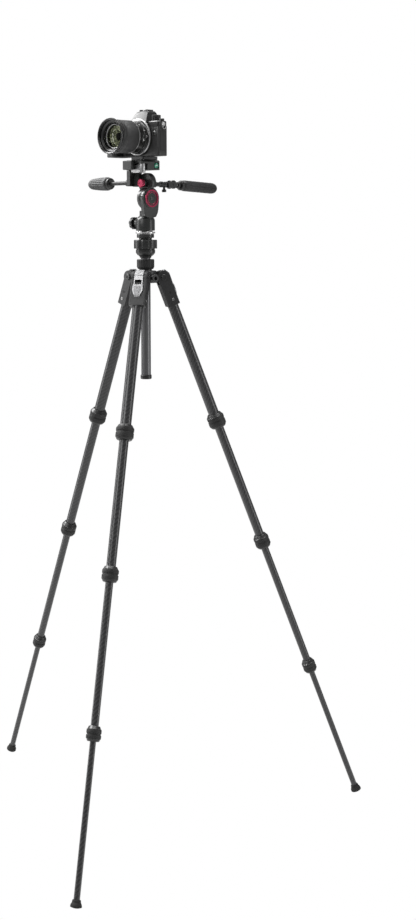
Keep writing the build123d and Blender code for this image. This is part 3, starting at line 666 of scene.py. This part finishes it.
paint("lens_barrel", LENS_BLACK, barrel_face, [PLASTIC])
soften("lens_barrel", 0.3, 38, 2)
LO = (CX * MM, 0, LENS_Z * MM)
paint("zoom_ring", ribbed("zoom_ribs", LO, (1, 0, 0), (0, 0, 1), (0, 1, 0), 150, (0.010, 0.010, 0.010), (0.030, 0.030, 0.030), 0.5, 0.0004))
paint("focus_ring", ribbed("focus_ribs", LO, (1, 0, 0), (0, 0, 1), (0, 1, 0), 110, (0.008, 0.008, 0.008), (0.024, 0.024, 0.024), 0.4, 0.0005))
soften("zoom_ring", 0.3, 38)
paint("front_glass", glass_mat("front_element", (0.84, 0.86, 0.76), 0.03))
L = place(0, 0, LENS_Z, TO_NY)     # turned about the lens axis, height = distance in front of the mount line

# inner lens groups behind the front element
lathe("lens_inner_cell", [(24.4, 75.6), (22.6, 75.6), (21.4, 72.6), (20.9, 66.0), (20.0, 65.4), (20.0, 60.0), (17.0, 59.6),
                          (17.0, 52.0), (24.4, 52.0)], INNER, L, "camera", 96)
# the inner elements are opaque; their light olive-grey base colour is a painted reflection of coated glass, kept light
# against the shade inside the barrel
inner_glass_painted_reflection = Mat("deep_element")
inner_glass_painted_reflection.set(Roughness=0.22, IOR=1.45)
inner_glass_painted_reflection.b.inputs["Coat Weight"].default_value = 0.35
inner_glass_painted_reflection.b.inputs["Coat Roughness"].default_value = 0.12
inner_glass_painted_reflection.b.inputs["Coat Tint"].default_value = (0.85, 0.90, 0.76, 1)
inner_glass_painted_reflection.link(inner_glass_painted_reflection.ramp(inner_glass_painted_reflection.noise(60.0), (0.3, (0.17, 0.17, 0.14)), (0.7, (0.27, 0.27, 0.225))), inner_glass_painted_reflection.b.inputs["Base Color"])
inner_glass_painted_reflection.bump(inner_glass_painted_reflection.noise(120.0), 0.02, 0.0001)
lathe("lens_second_element", rounded_profile([(8.2, 70.2), (8.6, 71.6), (13.0, 72.8), (19.6, 75.2), (23.9, 75.6), (23.9, 74.3), (19.7, 74.1),
      (19.7, 70.0), (8.2, 70.0)], 0.25), inner_glass_painted_reflection.m, L, "camera", 96)
lathe("lens_deep_element", rounded_profile([(0, 58.0), (6.0, 57.4), (11.0, 56.0), (16.9, 53.2)], 0.3), inner_glass_painted_reflection.m, L, "camera",
      96)
# filter thread turns and front trim ring
for k in range(4):
    y = 94.0 + 0.95 * k
    lathe(f"filter_thread_{k}", [(33.48, y), (32.95, y + 0.28), (32.95, y + 0.42), (33.48, y + 0.7)], LENS_BLACK, L, "camera",
          120)
lathe("front_baffle", rounded_profile([(33.4, 93.25), (30.4, 93.3), (30.0, 92.6), (27.2, 91.0), (26.4, 88.0)], 0.3, 3), LENS_BLACK, L,
      "camera", 120)
lathe("retainer_ring", rounded_profile([(24.6, 79.0), (24.9, 84.6), (24.5, 85.4), (23.9, 85.4), (23.2, 84.8), (22.8, 84.0), (22.8, 83.4), (24.0, 79.0)], 0.3, 3),
      STEEL, L, "camera", 120)
lathe("mount_ring", [(35.7, 18.9), (37.2, 18.9), (37.5, 19.2), (37.5, 21.0), (36.6, 22.0), (35.7, 22.2)], MOUNT_METAL, L, "camera",
      144)
lathe("barrel_bright_ring", [(33.0, 45.0), (33.55, 45.2), (33.55, 46.2), (33.0, 46.4)], STEEL, L, "camera", 144)
lathe("barrel_step_ring", [(32.2, 29.0), (33.1, 29.4), (33.1, 31.4), (32.2, 31.8)], LENS_BLACK, L, "camera", 144)
# sloping front cover of the viewfinder hump
bm = bmesh.new()
rows = [(1409.0, 24.4, -20.6), (1414.0, 22.6, -18.0), (1422.0, 19.8, -13.4), (1428.5, 17.6, -9.8), (1431.6, 15.6, -7.4),
        (1433.2, 13.0, -4.6)]
grid = []
for z, w, y in rows:
    line = []
    for i in range(13):
        t = -1 + 2 * i / 12
        crown = 1.6 * (1 - t * t)
        line.append(bm.verts.new(((CX + t * w) * MM, (y - crown) * MM, (z + (0.5 * (1 - t * t) if z > 1430 else 0)) * MM)))
    grid.append(line)
back = [[bm.verts.new(((CX + t * w) * MM, (-4.0 if z < 1433 else -3.6) * MM, z * MM)) for t in (-1, 1)] for z, w, y in rows]
for a, b in zip(grid, grid[1:]):
    for i in range(12):
        bm.faces.new((a[i], a[i + 1], b[i + 1], b[i]))
for k in range(len(rows) - 1):
    bm.faces.new((grid[k][0], grid[k + 1][0], back[k + 1][0], back[k][0]))
    bm.faces.new((grid[k][-1], back[k][1], back[k + 1][1], grid[k + 1][-1]))
    bm.faces.new((back[k][0], back[k + 1][0], back[k + 1][1], back[k][1]))
bm.faces.new(list(reversed(grid[0])) + [back[0][0], back[0][1]])
bm.faces.new(list(grid[-1]) + [back[-1][1], back[-1][0]])
prism = finish_mesh(bm, "viewfinder_front_cover", BODY_GLOSS, 28.0)
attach(prism, "camera")
# graduation ticks of the zoom scale, on the fixed barrel
for i, adeg in enumerate((118, 104, 92, 81, 71, 60, 46)):
    r = 32.45
    T = L @ RZ(adeg - 90) @ Matrix.Translation(Vector((0, r * MM, 38.0 * MM))) @ RX(-90)
    plate(f"zoom_tick_{i}", 0.9, 5.2 if i % 2 == 0 else 3.6, 0.18, WHITE, T, "camera", 0.06, 1)
for i, (yy, adeg, rr) in enumerate(((42.6, 38.0, 32.4), (24.5, 44.0, 32.4), (24.5, 30.0, 32.4), (31.5, 22.0, 33.1))):
    T = L @ RZ(adeg - 90) @ Matrix.Translation(Vector((0, (rr - 0.05) * MM, yy * MM))) @ RX(-90)
    lathe(f"index_dot_{i}", [(0, 0.22), (1.0, 0.22), (1.15, 0.1), (1.15, -0.3), (0, -0.3)], WHITE, T, "camera", 32)
for i, (yy, rr) in enumerate(((79.0, 34.15), (82.6, 34.3), (86.2, 34.3), (89.9, 34.2))):
    lathe(f"focus_ring_line_{i}", [(rr - 0.8, yy - 0.5), (rr - 0.1, yy - 0.45), (rr + 0.12, yy - 0.2), (rr + 0.12, yy + 0.2), (rr - 0.1, yy + 0.45),
          (rr - 0.8, yy + 0.5)], EDGE, L, "focus", 144)
for i, (yy, rr) in enumerate(((23.4, 33.0), (27.0, 33.0))):
    lathe(f"barrel_line_{i}", [(rr - 0.9, yy - 0.6), (rr - 0.1, yy - 0.5), (rr + 0.1, yy - 0.2), (rr + 0.1, yy + 0.2), (rr - 0.1, yy + 0.5),
          (rr - 0.9, yy + 0.6)], EDGE, L, "camera", 144)
# switch block on the user's left of the barrel (+X side)
for i, (yy, adeg) in enumerate(((35.0, 8.0), (27.0, 4.0))):
    S = L @ RZ(-adeg) @ Matrix.Translation(Vector((32.0 * MM, 0, yy * MM))) @ RY(90)
    plate(f"barrel_switch_bed_{i}", 6.4, 15.0, 1.3, LENS_BLACK, S, "camera", 0.5)
    plate(f"barrel_switch_{i}", 3.0, 5.0, 2.5, STEEL, S @ Matrix.Translation(Vector((0, (2.6 if i else -2.6) * MM, 0))), "camera",
          0.5, 3, 0.12)
# lens release button, lugs, shoe spring, dials
lathe("lens_release", rounded_profile([(0, 3.0), (2.8, 3.0), (3.5, 2.4), (3.5, 0.6), (4.6, 0.3), (4.6, -0.4), (0, -0.4)], 0.4), EDGE,
      place(46.0, -16.6, 1386.0, TO_NY), "camera", 64)
for sgn in (-1, 1):
    X = -74.0 if sgn < 0 else 57.0
    lathe(f"lug_post_{'l' if sgn < 0 else 'r'}", rounded_profile([(0, 3.4), (3.0, 3.4), (3.6, 2.8), (3.6, 0.6), (5.0, 0.2), (5.0, -0.4),
          (0, -0.4)], 0.3), STEEL, place(X, -3.0, 1404.5 if sgn > 0 else 1402.0, TO_PX if sgn > 0 else TO_NX), "camera", 48)
def hoop(name, major, minor, mtx, mat, body):
    """Round wire ring."""
    prof = [(major + minor * math.cos(t), minor * math.sin(t)) for t in [2 * math.pi * k / 12 for k in range(12)]]
    return lathe(name, prof, mat, mtx, body, 48)


hoop("strap_ring_right", 5.4, 0.75, place(59.4, -3.6, 1399.6, RZ(14) @ RY(78)), STEEL, "camera")
hoop("strap_ring_left", 5.4, 0.75, place(-76.4, -3.0, 1397.0, RZ(-10) @ RY(100)), STEEL, "camera")
plate("shoe_spring", 16.6, 13.0, 0.35, STEEL, place(0, 3.2, 1433.95), "camera", 0.15, 1)
lathe("rear_dial_top", rounded_profile([(0, 1415.9), (4.6, 1415.9), (5.3, 1415.3), (5.3, 1414.2), (0, 1414.2)], 0.3), GLOSS,
      place(51.0, -2.0, 0), "camera", 72)
lathe("mode_dial_insert", [(0, 0.35), (7.6, 0.35), (8.2, 0.2), (8.2, -0.2), (0, -0.2)], GLOSS, place(35.0, -2.0, 1423.6), "mode", 72)
for i in range(8):
    T = place(35.0, -2.0, 1423.9) @ RZ(i * 45.0) @ Matrix.Translation(Vector((0, 6.2 * MM, 0)))
    plate(f"mode_dial_mark_{i}", 0.55, 1.8, 0.16, WHITE, T, "mode", 0.06, 1)
lathe("shutter_collar", rounded_profile([(5.7, 1413.0), (5.7, 1413.9), (7.6, 1413.9), (8.4, 1413.2), (8.4, 1412.4)], 0.3), EDGE,
      place(-60.0, -24.0, 0), "camera", 72)
lathe("front_command_dial", rounded_profile([(0, 2.6), (5.4, 2.6), (6.0, 2.0), (6.0, -2.0), (5.4, -2.6), (0, -2.6)], 0.3), PLASTIC,
      place(-60.0, -40.4, 1403.4, RY(90)), "camera", 96, ribs=lambda z, a: 0.35 * (0.5 + 0.5 * math.cos(a * 24)) if -2.1 < z < 2.1 else 0)

# back: screen, eyepiece, thumb rest, buttons
screen = Mat("screen_glass")
screen.set(Roughness=0.06, IOR=1.5)
screen.b.inputs["Coat Weight"].default_value = 1.0
screen.b.inputs["Coat Roughness"].default_value = 0.03
screen.link(screen.ramp(screen.noise(14.0), (0.3, (0.004, 0.004, 0.005)), (0.7, (0.010, 0.010, 0.012))), screen.b.inputs["Base Color"])
screen.bump(screen.noise(40.0), 0.01, 0.0001)
plate("screen_bezel", 68.0, 47.0, 2.2, PLASTIC, place(5.0, 12.4, 1368.0, TO_PY), "camera", 1.2, 4)
plate("screen_pane", 61.0, 41.0, 0.7, screen.m, place(5.0, 14.35, 1368.4, TO_PY), "camera", 0.3, 2)
plate("eyepiece_cup", 31.0, 22.0, 5.0, RUBBER, place(0, 16.2, 1419.0, TO_PY), "camera", 2.4, 5, 0.06)
plate("eyepiece_window", 19.0, 12.0, 0.8, screen.m, place(0, 20.9, 1419.0, TO_PY), "camera", 0.5, 3)
plate("thumb_rest", 17.0, 22.0, 4.6, RUBBER, place(-60.0, 8.6, 1389.0, TO_PY), "camera", 2.0, 5, 0.16)
for i, (bx_, bz_) in enumerate(((-40.0, 1393.0), (-62.0, 1366.0), (-62.0, 1352.0), (-42.0, 1378.0))):
    lathe(f"rear_button_{i}", rounded_profile([(0, 1.5), (2.3, 1.5), (2.8, 1.0), (2.8, -0.3), (0, -0.3)], 0.3), PLASTIC,
          place(bx_, 9.5, bz_, TO_PY), "camera", 40)
lathe("rear_control_wheel", rounded_profile([(0, 1.2), (3.4, 1.2), (3.8, 0.8), (4.2, 0.8), (4.6, 1.6), (8.0, 1.6), (8.8, 1.0), (8.8, -0.3), (0, -0.3)], 0.25),
      GLOSS, place(-46.0, 9.5, 1361.0, TO_PY), "camera", 72)
# port door on the +X end, battery door underneath
plate("port_door", 17.0, 40.0, 0.9, RUBBER, place(56.7, -3.5, 1371.0, RZ(0) @ RY(90) @ RZ(90)), "camera", 0.7, 3)
plate("battery_door", 22.0, 30.0, 0.5, PLASTIC, place(-58.0, -14.0, 1340.1, RX(180)), "camera", 0.3, 2)

# ------------------------------------------------------------- floor, light
floor_m = Mat("floor_pale")
floor_m.link(floor_m.ramp(floor_m.noise(1.5), (0.3, (0.62, 0.62, 0.62)), (0.7, (0.66, 0.66, 0.66))), floor_m.b.inputs["Base Color"])
floor_m.set(Roughness=0.9)
lit = floor_m.n.new("ShaderNodeEmission")
lit.inputs["Color"].default_value = (1, 1, 1, 1)
lit.inputs["Strength"].default_value = 1.0
fp = floor_m.n.new("ShaderNodeLightPath")
fmix = floor_m.n.new("ShaderNodeMixShader")
floor_m.link(fp.outputs["Is Camera Ray"], fmix.inputs[0])
floor_m.link(floor_m.b.outputs[0], fmix.inputs[1])
floor_m.link(lit.outputs[0], fmix.inputs[2])
floor_m.link(fmix.outputs[0], floor_m.n["Material Output"].inputs["Surface"])
bm = bmesh.new()
bmesh.ops.create_circle(bm, cap_ends=True, segments=128, radius=30.0)
fl = finish_mesh(bm, "floor", floor_m.m)
fl.location = (0, 0, -0.0005)

world = bpy.data.worlds.new("studio")
sc.world = world
world.use_nodes = True
wt = world.node_tree
bg = wt.nodes["Background"]
bg.inputs["Color"].default_value = (1, 1, 1, 1)
bg.inputs["Strength"].default_value = 1.0
dim = wt.nodes.new("ShaderNodeBackground")
dim.inputs["Color"].default_value = (1, 1, 1, 1)
dim.inputs["Strength"].default_value = 0.30
path = wt.nodes.new("ShaderNodeLightPath")
mix = wt.nodes.new("ShaderNodeMixShader")
wt.links.new(path.outputs["Is Camera Ray"], mix.inputs[0])
wt.links.new(dim.outputs[0], mix.inputs[1])
wt.links.new(bg.outputs[0], mix.inputs[2])
wt.links.new(mix.outputs[0], wt.nodes["World Output"].inputs["Surface"])
sc.view_settings.view_transform = "Standard"
sc.view_settings.look = "None"


def area(name, loc, target, size, power, size_y=None):
    l = bpy.data.lights.new(name, "AREA")
    l.energy = power
    l.shape = "RECTANGLE"
    l.size = size
    l.size_y = size_y or size
    ob = bpy.data.objects.new(name, l)
    sc.collection.objects.link(ob)
    ob.location = loc
    ob.rotation_euler = (Vector(target) - Vector(loc)).to_track_quat("-Z", "Y").to_euler()
    ob.visible_camera = False
    return ob


aim = (CX * MM, 0, 1.25)
area("key_left_high", (-1.65, -0.50, 2.85), aim, 1.4, 120.0)
area("front_soft", (0.1, -2.5, 2.4), aim, 1.3, 24.0)
area("overhead", (CX * MM, 0.3, 3.1), aim, 1.3, 34.0)
area("strip_left", (-1.9, -1.3, 1.1), (CX * MM, 0, 0.8), 0.45, 20.0, 2.4)
area("strip_right", (2.1, 1.1, 1.1), (CX * MM, 0, 0.9), 0.25, 14.0, 2.2)
